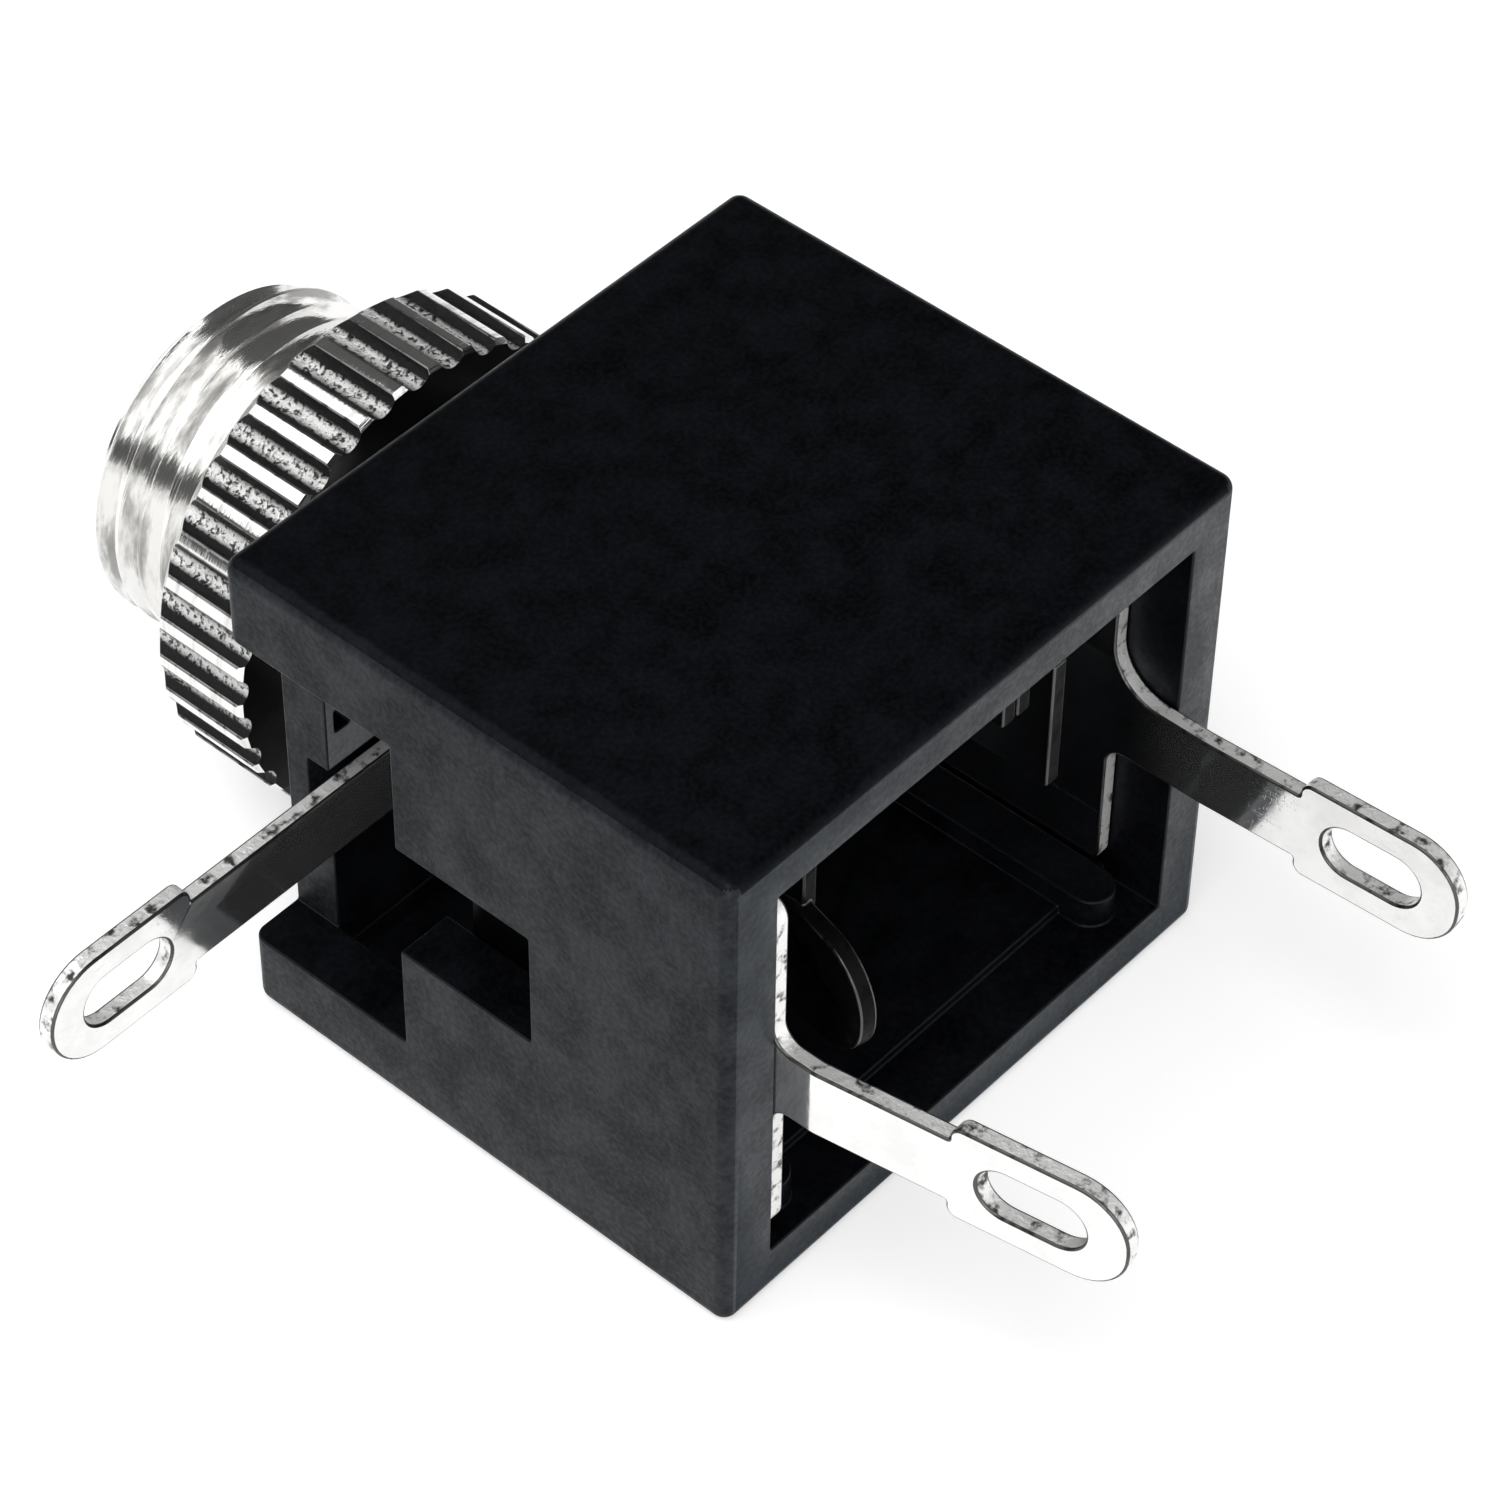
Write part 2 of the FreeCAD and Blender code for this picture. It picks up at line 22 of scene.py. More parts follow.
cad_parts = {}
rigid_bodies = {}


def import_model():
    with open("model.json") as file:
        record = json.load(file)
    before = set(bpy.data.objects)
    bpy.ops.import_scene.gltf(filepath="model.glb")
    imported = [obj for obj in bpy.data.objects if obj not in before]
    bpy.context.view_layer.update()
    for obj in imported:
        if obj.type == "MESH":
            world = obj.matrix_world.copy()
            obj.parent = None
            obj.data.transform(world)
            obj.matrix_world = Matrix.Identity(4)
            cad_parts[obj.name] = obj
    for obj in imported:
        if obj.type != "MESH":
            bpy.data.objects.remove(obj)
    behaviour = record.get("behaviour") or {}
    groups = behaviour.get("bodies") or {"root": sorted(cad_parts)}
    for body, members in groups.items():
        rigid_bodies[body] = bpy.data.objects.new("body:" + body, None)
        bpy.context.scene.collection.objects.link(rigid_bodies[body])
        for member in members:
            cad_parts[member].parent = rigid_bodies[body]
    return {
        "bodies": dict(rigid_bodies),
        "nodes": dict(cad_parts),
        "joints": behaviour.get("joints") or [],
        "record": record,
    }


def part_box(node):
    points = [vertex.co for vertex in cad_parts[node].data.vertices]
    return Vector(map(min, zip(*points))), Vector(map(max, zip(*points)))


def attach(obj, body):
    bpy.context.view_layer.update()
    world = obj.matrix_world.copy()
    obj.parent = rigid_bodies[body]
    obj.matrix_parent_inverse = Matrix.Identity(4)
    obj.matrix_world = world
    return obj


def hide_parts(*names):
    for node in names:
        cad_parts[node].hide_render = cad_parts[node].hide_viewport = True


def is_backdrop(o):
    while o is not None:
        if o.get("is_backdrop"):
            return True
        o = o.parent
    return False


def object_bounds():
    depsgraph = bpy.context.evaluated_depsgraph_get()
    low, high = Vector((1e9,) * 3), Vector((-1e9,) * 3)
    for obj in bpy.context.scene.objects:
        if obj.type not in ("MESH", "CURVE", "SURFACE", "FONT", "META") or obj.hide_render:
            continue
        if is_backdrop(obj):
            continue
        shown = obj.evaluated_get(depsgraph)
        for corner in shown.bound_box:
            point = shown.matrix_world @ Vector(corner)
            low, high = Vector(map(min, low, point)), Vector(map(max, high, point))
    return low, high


LOG = logging.getLogger("jack_socket")

MM = 0.001
PER_MM = 1000.0
# Points nearer than this are one point.
WELD = 0.0005 * MM
# Points nearer to a cutting plane than this lie on it.
ON_PLANE = 0.0001 * MM
# Triangles that meet at less than this lie in one flat face.
SAME_FLAT = math.radians(0.6)
# Edges that turn by more than this are sharp.
SHARP = math.radians(32.0)
# A direction counts as along an axis when its part along that axis is more than this.
ALONG_AXIS = 0.9

Wired = Union[float, tuple, NodeSocket]
Outputs = bpy.types.bpy_prop_collection
Colour = tuple[float, float, float, float]
Span = tuple[float, float]


class Slot(Enum):
    """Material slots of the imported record."""

    MOULDING = "black_moulding"
    NICKEL = "nickel_plate"
    SHEET = "silvered_sheet"


class Body(Enum):
    """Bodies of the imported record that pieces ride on."""

    JACK = "jack"
    NUT = "nut"


class HousingFace(IntEnum):
    """Kinds of face on the housing, in the order of its materials."""

    WALL = 0
    # painted shade: the top, the cavity's inside and the front wall's inner face below the side
    # lug
    PAINTED_SHADE = 1
    # painted light: the front wall's inner face above the side lug
    PAINTED_LIGHT = 2
    RIM = 3
    EDGE = 4


class NutFace(IntEnum):
    """Kinds of face on the ring nut, in the order of its materials."""

    LAND = 0
    FLUTE = 1
    SHADED = 2
    ROUND = 3


class SheetFace(IntEnum):
    """Kinds of face on a sheet contact, in the order of its materials."""

    FLAT = 0
    CUT = 1
    LEAF_CUT = 2
    # painted reflection of the moulding and painted shade
    WALL_SIDE = 3
    ROUND = 4


# Shader wiring


class Wiring:
    """Adds and joins the nodes of one shader tree."""

    def __init__(self, tree: NodeTree) -> None:
        """Keep the tree.

        Args:
            tree: a material's, the world's or a group's node tree.
        """
        self.tree = tree

    def add(self, kind: str, **settings: object) -> Node:
        """Add a node.

        Args:
            kind: the node's type name.
            settings: attributes of the node.

        Returns:
            The new node.
        """
        node = self.tree.nodes.new(kind)
        for name, value in settings.items():
            setattr(node, name, value)
        return node

    def feed(self, socket: NodeSocket, value: Wired) -> None:
        """Give an input a value, or link another node's output to it.

        Args:
            socket: the input.
            value: a plain value or an output.
        """
        if isinstance(value, NodeSocket):
            self.tree.links.new(value, socket)
        else:
            socket.default_value = value

    def maths(self, operation: str, *values: Wired, clamp: bool = False) -> NodeSocket:
        """Put a Math node between values.

        Args:
            operation: the node's operation.
            values: its inputs, in order.
            clamp: whether the result is kept between 0 and 1.

        Returns:
            The result.
        """
        node = self.add("ShaderNodeMath", operation=operation, use_clamp=clamp)
        for socket, value in zip(node.inputs, values):
            self.feed(socket, value)
        return node.outputs[0]

    def spread(self, value: Wired, over: Span = (0.0, 1.0), to: Span = (0.0, 1.0)) -> NodeSocket:
        """Map a value smoothly from one range to another.

        Args:
            value: the value to map.
            over: the range that it comes from.
            to: results at the start and the end of that range.

        Returns:
            The mapped value.
        """
        node = self.add("ShaderNodeMapRange", interpolation_type="SMOOTHSTEP")
        self.feed(node.inputs["Value"], value)
        for name, number in zip(("From Min", "From Max", "To Min", "To Max"), over + to):
            self.feed(node.inputs[name], number)
        return node.outputs["Result"]

    def stretch(self, vector: NodeSocket, scale: tuple) -> NodeSocket:
        """Scale a pattern's coordinates along each axis.

        Args:
            vector: the coordinates.
            scale: factors along X, Y and Z.

        Returns:
            The scaled coordinates.
        """
        node = self.add("ShaderNodeMapping")
        self.feed(node.inputs["Vector"], vector)
        self.feed(node.inputs["Scale"], scale)
        return node.outputs["Vector"]

    def split(self, vector: NodeSocket) -> Outputs:
        """Take coordinates apart.

        Args:
            vector: the coordinates.

        Returns:
            Outputs named X, Y and Z.
        """
        node = self.add("ShaderNodeSeparateXYZ")
        self.feed(node.inputs[0], vector)
        return node.outputs

    def noise(self, vector: NodeSocket, scale: Wired, detail: float,
              roughness: float) -> NodeSocket:
        """Noise over coordinates.

        Args:
            vector: coordinates in millimetres.
            scale: features per millimetre.
            detail: octaves.
            roughness: share of the finer octaves.

        Returns:
            The noise's value, about 0.5 on average.
        """
        node = self.add("ShaderNodeTexNoise")
        for name, value in (("Vector", vector), ("Scale", scale), ("Detail", detail),
                            ("Roughness", roughness)):
            self.feed(node.inputs[name], value)
        return node.outputs["Fac"]

    def cells(self, vector: NodeSocket, scale: Wired) -> NodeSocket:
        """Pits scattered over coordinates.

        Args:
            vector: coordinates in millimetres.
            scale: pits per millimetre.

        Returns:
            Distance to the nearest pit's middle.
        """
        node = self.add("ShaderNodeTexVoronoi")
        self.feed(node.inputs["Vector"], vector)
        self.feed(node.inputs["Scale"], scale)
        return node.outputs["Distance"]

    def tint(self, mask: Wired, plain: Colour, marked: Colour) -> NodeSocket:
        """Mix two colours.

        Args:
            mask: 0 for the first colour, 1 for the second.
            plain: the first colour.
            marked: the second colour.

        Returns:
            The mixed colour.
        """
        node = self.add("ShaderNodeMix", data_type="RGBA")
        self.feed(node.inputs["Factor"], mask)
        first, second = (socket for socket in node.inputs if socket.type == "RGBA")
        self.feed(first, plain)
        self.feed(second, marked)
        return next(socket for socket in node.outputs if socket.type == "RGBA")


def place_in_mm(wiring: Wiring) -> NodeSocket:
    """Object coordinates in millimetres."""
    coordinates = wiring.add("ShaderNodeTexCoord").outputs["Object"]
    return wiring.stretch(coordinates, (PER_MM, PER_MM, PER_MM))


class Effect:
    """A surface effect kept as a shader node group that any material can place."""

    name = "effect"
    inputs: tuple = ()
    outputs: tuple = ()

    def __init__(self) -> None:
        """Build the group once."""
        self.group = bpy.data.node_groups.new(self.name, "ShaderNodeTree")
        face = self.group.interface
        face.new_socket("Place", in_out="INPUT", socket_type="NodeSocketVector")
        for name, value in self.inputs:
            socket = face.new_socket(name, in_out="INPUT", socket_type="NodeSocketFloat")
            socket.default_value = value
        for name in self.outputs:
            face.new_socket(name, in_out="OUTPUT", socket_type="NodeSocketFloat")
        self.wiring = Wiring(self.group)
        self.given = self.wiring.add("NodeGroupInput").outputs
        result = self.wiring.add("NodeGroupOutput").inputs
        for name, value in zip(self.outputs, self.build()):
            self.wiring.feed(result[name], value)

    def build(self) -> tuple:
        """Wire one socket for each output, which each kind of effect does in its own way."""
        raise NotImplementedError

    def put(self, wiring: Wiring, place: NodeSocket, **values: Wired) -> Outputs:
        """Place the effect in a material.

        Args:
            wiring: the material's wiring.
            place: coordinates in millimetres.
            values: the effect's inputs, with spaces written as underscores.

        Returns:
            The group node's outputs.
        """
        node = wiring.add("ShaderNodeGroup")
        node.node_tree = self.group
        wiring.feed(node.inputs["Place"], place)
        for name, value in values.items():
            wiring.feed(node.inputs[name.replace("_", " ")], value)
        return node.outputs


class SparkGrain(Effect):
    """Fine satin grain that a spark-eroded mould leaves on plastic."""

    name = "spark_grain"
    inputs = (("Grain Scale", 9.0), ("Cloud Scale", 1.2))
    outputs = ("Height", "Tone")
    pits_to_grain = 0.8
    grain_share = 0.7
    pit_share = 0.4
    cloud_share = 0.5

    def build(self) -> tuple:
        """Small craters over slow clouds.

        Returns:
            Height of the grain, and tone from 0 for dark to 1 for pale.
        """
        wiring, given = self.wiring, self.given
        place, scale = given["Place"], given["Grain Scale"]
        fine = wiring.noise(place, scale, detail=4.0, roughness=0.62)
        pits = wiring.cells(place, wiring.maths("MULTIPLY", scale, self.pits_to_grain))
        height = wiring.maths("ADD", wiring.maths("MULTIPLY", fine, self.grain_share),
                              wiring.maths("MULTIPLY", pits, self.pit_share))
        cloud = wiring.noise(place, given["Cloud Scale"], detail=3.0, roughness=0.55)
        grit = wiring.noise(place, scale, detail=3.0, roughness=0.6)
        clouds = wiring.spread(cloud, over=(0.3, 0.7))
        grains = wiring.spread(grit, over=(0.35, 0.7))
        tone = wiring.maths("ADD", wiring.maths("MULTIPLY", clouds, self.cloud_share),
                            wiring.maths("MULTIPLY", grains, 1.0 - self.cloud_share))
        return height, tone


class FineScratches(Effect):
    """Hairline scratches and handling marks on plating."""

    name = "fine_scratches"
    inputs = (("Scale", 6.0), ("Amount", 0.5))
    outputs = ("Height", "Marks")
    families = ((0.35, 6.0, 2.0), (3.0, 0.4, 7.0))
    patch_scale = 1.4

    def build(self) -> tuple:
        """Two crossed families of stretched noise, kept where the noise peaks.

        Returns:
            Height, lowest in a scratch, and marks from 0 for clean to 1.
        """
        wiring, given = self.wiring, self.given
        place = given["Place"]
        lines = []
        for scale in self.families:
            line = wiring.noise(wiring.stretch(place, scale), given["Scale"], detail=2.0,
                                roughness=0.6)
            lines.append(wiring.spread(line, over=(0.58, 0.78)))
        patch = wiring.noise(place, self.patch_scale, detail=3.0, roughness=0.6)
        kept = wiring.maths("MULTIPLY", wiring.maths("MAXIMUM", *lines),
                            wiring.spread(patch, over=(0.35, 0.7)))
        marks = wiring.maths("MULTIPLY", kept, given["Amount"])
        return wiring.maths("SUBTRACT", 1.0, marks), marks


class TurnedRings(Effect):
    """Fine rings that a lathe tool leaves round the bush's axis."""

    name = "turned_rings"
    inputs = (("Ring Scale", 16.0),)
    outputs = ("Height", "Streaks")
    ring_draw = (0.28, 3.4, 0.28)
    streak_draw = (0.35, 3.0, 0.35)
    streak_scale = 1.7

    def build(self) -> tuple:
        """Noise drawn out round the axis, fine along it and across a face.

        Returns:
            Height of the rings, and streaks from 0 for bright to 1 for dull.
        """
        wiring, given = self.wiring, self.given
        drawn = wiring.stretch(given["Place"], self.ring_draw)
        rings = wiring.noise(drawn, given["Ring Scale"], detail=3.0, roughness=0.65)
        drawn = wiring.stretch(given["Place"], self.streak_draw)
        streak = wiring.noise(drawn, self.streak_scale, detail=4.0, roughness=0.6)
        return rings, wiring.spread(streak, over=(0.48, 0.7))


class ShearedMetal(Effect):
    """Torn and burnished patches, as on the cut edge of stamped sheet."""

    name = "sheared_metal"
    inputs = (("Tear Scale", 9.0),)
    outputs = ("Height", "Tears")
    patches_to_tears = 0.5

    def build(self) -> tuple:
        """Rough tears with broken bright patches.

        Returns:
            Height of the tears, and their mask from 0 for bright to 1 for torn.
        """
        wiring, given = self.wiring, self.given
        place, scale = given["Place"], given["Tear Scale"]
        coarse = wiring.noise(place, scale, detail=4.0, roughness=0.7)
        patches = wiring.maths("MULTIPLY", scale, self.patches_to_tears)
        broken = wiring.noise(place, patches, detail=3.0, roughness=0.6)
        return coarse, wiring.spread(broken, over=(0.5, 0.68))


@dataclass
class EffectBook:
    """The effects that the finishes share."""

    grain: SparkGrain = field(default_factory=SparkGrain)
    scratches: FineScratches = field(default_factory=FineScratches)
    rings: TurnedRings = field(default_factory=TurnedRings)
    shear: ShearedMetal = field(default_factory=ShearedMetal)


# Finishes. Roughness runs with its mask: on the first colour, then on the second.


class Surface:
    """One material with its Principled shader, ready to be wired."""

    def __init__(self, name: str) -> None:
        """Start an empty material.

        Args:
            name: the material's name.
        """
        self.material = bpy.data.materials.new(name)
        self.material.use_nodes = True
        self.wiring = Wiring(self.material.node_tree)
        self.shader = self.material.node_tree.nodes["Principled BSDF"]
        self.place = place_in_mm(self.wiring)

    def set(self, **values: Wired) -> None:
        """Give the shader's inputs values or links, with spaces written as underscores."""
        for name, value in values.items():
            self.wiring.feed(self.shader.inputs[name.replace("_", " ")], value)

    def bump(self, height: NodeSocket, depth: float, strength: float = 1.0) -> None:
        """Bend the surface by a height, on top of any height before it.

        Args:
            height: height between 0 and 1.
            depth: metres from the lowest to the highest point.
            strength: share of the effect.
        """
        below = self.shader.inputs["Normal"].links
        node = self.wiring.add("ShaderNodeBump")
        for name, value in (("Distance", depth), ("Strength", strength), ("Height", height)):
            self.wiring.feed(node.inputs[name], value)
        if below:
            self.wiring.feed(node.inputs["Normal"], below[0].from_socket)
        self.wiring.feed(self.shader.inputs["Normal"], node.outputs["Normal"])


@dataclass(frozen=True)
class MouldedBlack:
    """Black moulded plastic with a spark-eroded grain, as on the outer walls."""

    colour: Colour = (0.004, 0.0046, 0.0056, 1.0)
    pale: Colour = (0.023, 0.0255, 0.029, 1.0)
    gloss: float = 0.1
    sheen: Colour = (0.75, 0.88, 1.0, 1.0)
    roughness: Span = (0.5, 0.34)
    grain_scale: float = 10.0
    cloud_scale: float = 1.3
    grain_depth: float = 0.0045 * MM
    name: str = "moulded_black_walls"

    def make(self, effects: EffectBook) -> Material:
        """Build the material.

        Args:
            effects: the shared effects.

        Returns:
            The material.
        """
        surface = Surface(self.name)
        wiring = surface.wiring
        grain = effects.grain.put(wiring, surface.place, Grain_Scale=self.grain_scale,
                                  Cloud_Scale=self.cloud_scale)
        surface.set(Base_Color=wiring.tint(grain["Tone"], self.colour, self.pale),
                    Specular_IOR_Level=self.gloss, Specular_Tint=self.sheen,
                    Roughness=wiring.spread(grain["Tone"], to=self.roughness))
        surface.bump(grain["Height"], self.grain_depth)
        return surface.material


@dataclass(frozen=True)
class MouldedPaintedShade(MouldedBlack):
    """Blacker, smoother moulding on the top and inside the cavity: painted shade where less
    light falls.
    """

    colour: Colour = (0.0, 0.0001, 0.0003, 1.0)
    pale: Colour = (0.0056, 0.0061, 0.0078, 1.0)
    gloss: float = 0.08
    roughness: Span = (0.42, 0.3)
    grain_scale: float = 12.0
    name: str = "moulded_black_painted_shade"


@dataclass(frozen=True)
class MouldedPaintedLight(MouldedBlack):
    """The front wall's inner face above the side lug, painted grey as painted light; below the
    lug it keeps painted shadow.
    """

    colour: Colour = (0.1, 0.105, 0.11, 1.0)
    pale: Colour = (0.17, 0.178, 0.185, 1.0)
    name: str = "moulded_black_painted_light"


@dataclass(frozen=True)
class MouldedRim(MouldedBlack):
    """The rim round the open rear, a little glossier where the mould parts."""

    gloss: float = 0.3
    name: str = "moulded_black_rim"


@dataclass(frozen=True)
class MouldedEdge(MouldedBlack):
    """The housing's rounded edges, rubbed a little smoother than its faces."""

    colour: Colour = (0.0008, 0.0009, 0.0012, 1.0)
    pale: Colour = (0.005, 0.0055, 0.0066, 1.0)
    gloss: float = 0.19
    grain_depth: float = 0.003 * MM
    name: str = "moulded_black_edge"


@dataclass(frozen=True)
class TurnedNickel:
    """Bright nickel on turned brass, with tool rings and soft grey streaks."""

    colour: Colour = (0.9, 0.895, 0.88, 1.0)
    dull: Colour = (0.4, 0.395, 0.385, 1.0)
    roughness: Span = (0.1, 0.32)
    ring_scale: float = 5.0
    ring_depth: float = 0.005 * MM
    scratch_scale: float = 4.0
    scratch_amount: float = 0.4
    scratch_depth: float = 0.002 * MM
    name: str = "turned_nickel"

    def make(self, effects: EffectBook) -> Material:
        """Build the material.

        Args:
            effects: the shared effects.

        Returns:
            The material.
        """
        surface = Surface(self.name)
        wiring = surface.wiring
        rings = effects.rings.put(wiring, surface.place, Ring_Scale=self.ring_scale)
        scratches = effects.scratches.put(wiring, surface.place, Scale=self.scratch_scale,
                                          Amount=self.scratch_amount)
        surface.set(Base_Color=wiring.tint(rings["Streaks"], self.colour, self.dull),
                    Metallic=1.0,
                    Roughness=wiring.spread(rings["Streaks"], to=self.roughness))
        surface.bump(rings["Height"], self.ring_depth)
        surface.bump(scratches["Height"], self.scratch_depth, strength=0.6)
        return surface.material


@dataclass(frozen=True)
class ShadedNickel(TurnedNickel):
    """The nut's end face towards the housing, painted near black as painted shade."""

    colour: Colour = (0.011, 0.011, 0.012, 1.0)
    dull: Colour = (0.004, 0.004, 0.005, 1.0)
    roughness: Span = (0.3, 0.4)
    name: str = "shaded_nickel"


@dataclass(frozen=True)
class PaintedShadeRound(TurnedNickel):
    """Broken edges of plated metal, darkened with painted shade along the rounds."""

    colour: Colour = (0.1, 0.099, 0.096, 1.0)
    dull: Colour = (0.02, 0.02, 0.02, 1.0)
    roughness: Span = (0.3, 0.45)
    ring_depth: float = 0.001 * MM
    name: str = "painted_shade_round"


@dataclass(frozen=True)
class FluteNickel:
    """Rough sparkling nickel in the nut's flutes, with painted shade up their flanks.

    The painted shade starts and is full at two shares of the flute's depth, raised by a ragged
    margin.
    """

    crest: float
    foot: float
    bright: Colour = (0.95, 0.945, 0.93, 1.0)
    dark: Colour = (0.012, 0.012, 0.012, 1.0)
    metal: float = 0.65
    gloss: float = 0.3
    roughness: float = 0.2
    tear_scale: float = 11.0
    pits: Span = (0.4, 0.53)
    pit_dark: float = 0.96
    flank: Span = (0.05, 0.35)
    ragged_mm: float = 0.12
    sparkle_depth: float = 0.045 * MM
    name: str = "flute_nickel"

    def make(self, effects: EffectBook) -> Material:
        """Build the material.

        Args:
            effects: the shared effects.

        Returns:
            The material.
        """
        surface = Surface(self.name)
        wiring = surface.wiring
        tears = effects.shear.put(wiring, surface.place, Tear_Scale=self.tear_scale)
        radius = wiring.add("ShaderNodeVectorMath", operation="LENGTH")
        wiring.feed(radius.inputs[0], wiring.stretch(surface.place, (1.0, 0.0, 1.0)))
        ragged = wiring.maths("MULTIPLY_ADD", tears["Height"], self.ragged_mm,
                              radius.outputs["Value"])
        foot = self.foot * PER_MM + self.ragged_mm / 2
        rise = (self.crest - self.foot) * PER_MM
        # Painted shade up the flanks, towards the lands.
        flank = wiring.spread(ragged, tuple(foot + share * rise for share in self.flank))
        pitted = wiring.spread(tears["Height"], self.pits, to=(self.pit_dark, 0.0))
        dark = wiring.maths("ADD", flank, pitted, clamp=True)
        surface.set(Base_Color=wiring.tint(dark, self.bright, self.dark), Metallic=self.metal,
                    Specular_IOR_Level=self.gloss, Roughness=self.roughness)
        surface.bump(tears["Height"], self.sparkle_depth)
        return surface.material


@dataclass(frozen=True)
class SilveredSheet:
    """Bright silver plating on the flats of stamped sheet.

    Outside the housing the plating is handled and a trace less metallic. Two spans in
    millimetres say where that ends behind the front wall and begins before the open rear.
    """

    colour: Colour = (0.93, 0.925, 0.915, 1.0)
    dull: Colour = (0.74, 0.735, 0.72, 1.0)
    roughness: Span = (0.055, 0.17)
    handled_metal: float = 0.972
    handled_front_mm: Span = (2.0, 3.0)
    handled_rear_mm: Span = (8.6, 11.0)
    haze_scale: float = 1.3
    haze_share: float = 0.5
    wave_scale: float = 0.9
    wave_depth: float = 0.005 * MM
    scratch_scale: float = 5.0
    scratch_amount: float = 0.8
    scratch_depth: float = 0.001 * MM
    name: str = "silvered_sheet_flat"

    def make(self, effects: EffectBook) -> Material:
        """Build the material.

        Args:
            effects: the shared effects.

        Returns:
            The material.
        """
        surface = Surface(self.name)
        wiring, place = surface.wiring, surface.place
        scratches = effects.scratches.put(wiring, place, Scale=self.scratch_scale,
                                          Amount=self.scratch_amount)
        haze = wiring.spread(wiring.noise(place, self.haze_scale, detail=4.0, roughness=0.6),
                             over=(0.35, 0.7))
        marks = wiring.maths("ADD", wiring.maths("MULTIPLY", haze, self.haze_share),
                             scratches["Marks"], clamp=True)
        along = wiring.split(place)["Y"]
        handled = wiring.maths("MAXIMUM", wiring.spread(along, self.handled_rear_mm),
                               wiring.spread(along, self.handled_front_mm, to=(1.0, 0.0)))
        surface.set(Base_Color=wiring.tint(marks, self.colour, self.dull),
                    Metallic=wiring.spread(handled, to=(1.0, self.handled_metal)),
                    Roughness=wiring.spread(marks, to=self.roughness))
        surface.bump(wiring.noise(place, self.wave_scale, detail=2.0, roughness=0.5),
                     self.wave_depth)
        surface.bump(scratches["Height"], self.scratch_depth, strength=0.7)
        return surface.material


@dataclass(frozen=True)
class PaintedDarkReflectionSheet(SilveredSheet):
    """The face that lies on the side wall, painted near black: painted reflection of the black
    moulding, and painted shade.
    """

    colour: Colour = (0.008, 0.008, 0.009, 1.0)
    dull: Colour = (0.003, 0.003, 0.004, 1.0)
    roughness: Span = (0.3, 0.45)
    name: str = "sheet_painted_dark_reflection"


@dataclass(frozen=True)
class ShearedEdge:
    """The cut edge of stamped sheet: torn, streaked and only partly bright."""

    bright: Colour = (0.95, 0.945, 0.93, 1.0)
    torn: Colour = (0.05, 0.049, 0.047, 1.0)
    metal: float = 0.6
    gloss: float = 0.3
    roughness: Span = (0.3, 0.5)
    tear_scale: float = 8.0
    tear_depth: float = 0.03 * MM
    name: str = "sheared_edge"

    def make(self, effects: EffectBook) -> Material:
        """Build the material.

        Args:
            effects: the shared effects.

        Returns:
            The material.
        """
        surface = Surface(self.name)
        wiring = surface.wiring
        tears = effects.shear.put(wiring, surface.place, Tear_Scale=self.tear_scale)
        surface.set(Base_Color=wiring.tint(tears["Tears"], self.bright, self.torn),
                    Metallic=self.metal, Specular_IOR_Level=self.gloss,
                    Roughness=wiring.spread(tears["Tears"], to=self.roughness))
        surface.bump(tears["Height"], self.tear_depth, strength=0.8)
        return surface.material


@dataclass(frozen=True)
class LeafEdgePaintedShade(ShearedEdge):
    """The cut edge of the spring leaves, painted near black as painted shade inside the housing.
    """

    bright: Colour = (0.006, 0.006, 0.007, 1.0)
    torn: Colour = (0.002, 0.002, 0.003, 1.0)
    metal: float = 0.0
    gloss: float = 0.04
    roughness: Span = (0.4, 0.5)
    tear_depth: float = 0.012 * MM
    name: str = "leaf_edge_painted_shade"


# Mesh work


@dataclass(frozen=True)
class EdgeBreak:
    """Small round that breaks every sharp edge of a piece.

    A material of -1 leaves the rounds in their neighbours' finish.
    """

    width: float
    sharper_than: float = SHARP
    segments: int = 2
    material: int = -1

    def apply_to(self, piece: Object) -> None:
        """Add the round as a Bevel modifier.

        Args:
            piece: the piece to round.
        """
        bevel = piece.modifiers.new("edge_break", "BEVEL")
        bevel.width = self.width
        bevel.segments = self.segments
        bevel.limit_method = "ANGLE"
        bevel.angle_limit = self.sharper_than
        bevel.profile = 0.5
        bevel.use_clamp_overlap = True
        bevel.harden_normals = True
        bevel.miter_outer = "MITER_ARC"
        bevel.material = self.material


def cut_across(bm: BMesh, point: tuple, way: tuple, trim: bool = False) -> None:
    """Divide a mesh's faces along a plane.

    Args:
        bm: the mesh.
        point: a point of the plane.
        way: the plane's normal.
        trim: whether what lies beyond the plane is taken away.
    """
    bmesh.ops.bisect_plane(bm, geom=bm.verts[:] + bm.edges[:] + bm.faces[:], dist=ON_PLANE,
                           plane_co=point, plane_no=way, clear_outer=trim)


def points_on_faces(bm: BMesh) -> dict[BMFace, Vector]:
    """Find a point on the metal of each face: the middle of its largest triangle.

    Args:
        bm: the mesh.

    Returns:
        The point of each face.
    """
    largest = {}
    for loops in bm.calc_loop_triangles():
        first, second, third = (loop.vert.co for loop in loops)
        area = (second - first).cross(third - first).length
        if area > largest.get(loops[0].face, (0.0,))[0]:
            largest[loops[0].face] = (area, (first + second + third) / 3)
    return {face: found[1] for face, found in largest.items()}


def smooth_with_sharp_edges(bm: BMesh, sharper_than: float = SHARP) -> None:
    """Shade a mesh smooth but for its sharp edges.

    Args:
        bm: the mesh.
        sharper_than: turn, in radians, from which an edge stays sharp.
    """
    for face in bm.faces:
        face.smooth = True
    for edge in bm.edges:
        edge.smooth = len(edge.link_faces) == 2 and edge.calc_face_angle(0.0) < sharper_than


